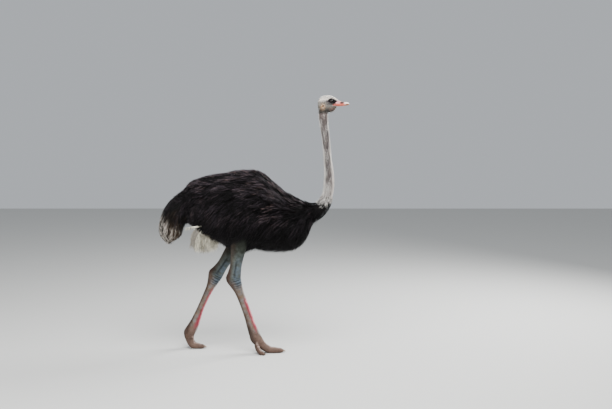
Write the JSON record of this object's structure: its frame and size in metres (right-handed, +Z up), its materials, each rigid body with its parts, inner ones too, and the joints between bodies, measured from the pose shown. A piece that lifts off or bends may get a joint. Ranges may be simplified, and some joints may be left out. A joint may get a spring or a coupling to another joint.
{
  "type": "ostrich",
  "caption": "Life-size male ostrich, a still model in a walking pose: black body plumes, white wing plumes, long bare neck, downy head and bare scaly legs.",
  "frame": {"origin": "on the ground, at the middle of the bounding box: midway between the tail's rearmost plume and the bill's tip, and midway between the wings", "axes": "+Z up, +X forward along the bill, +Y to the bird's left"},
  "size_m": [1.4897, 0.5356, 2.0099],
  "materials": {
    "black_feather": "matte feather",
    "white_plume": "matte feather",
    "tail_plume": "matte feather",
    "neck_down": "matte down",
    "leg_skin": "satin scaly skin",
    "tarsus_skin": "satin scutes",
    "toe_skin": "matte scaly skin",
    "bill_horn": "satin horn",
    "eye": "wet gloss",
    "claw_horn": "dull horn"
  },
  "bodies": {
    "root": {"trunk": "black_feather", "tail": "tail_plume", "wing_right": "black_feather", "wing_plumes_right": "white_plume", "wing_left": "black_feather", "wing_plumes_left": "white_plume", "neck_lower": "black_feather", "neck_upper": "neck_down", "head": "neck_down", "bill_upper": "bill_horn", "bill_lower": "bill_horn", "eye_right": "eye", "eye_left": "eye", "shank_right": "leg_skin", "tarsus_right": "tarsus_skin", "toe_big_right": "toe_skin", "toe_small_right": "toe_skin", "claw_big_right": "claw_horn", "claw_small_right": "claw_horn", "shank_left": "leg_skin", "tarsus_left": "tarsus_skin", "toe_big_left": "toe_skin", "toe_small_left": "toe_skin", "claw_big_left": "claw_horn", "claw_small_left": "claw_horn"}
  },
  "joints": []
}
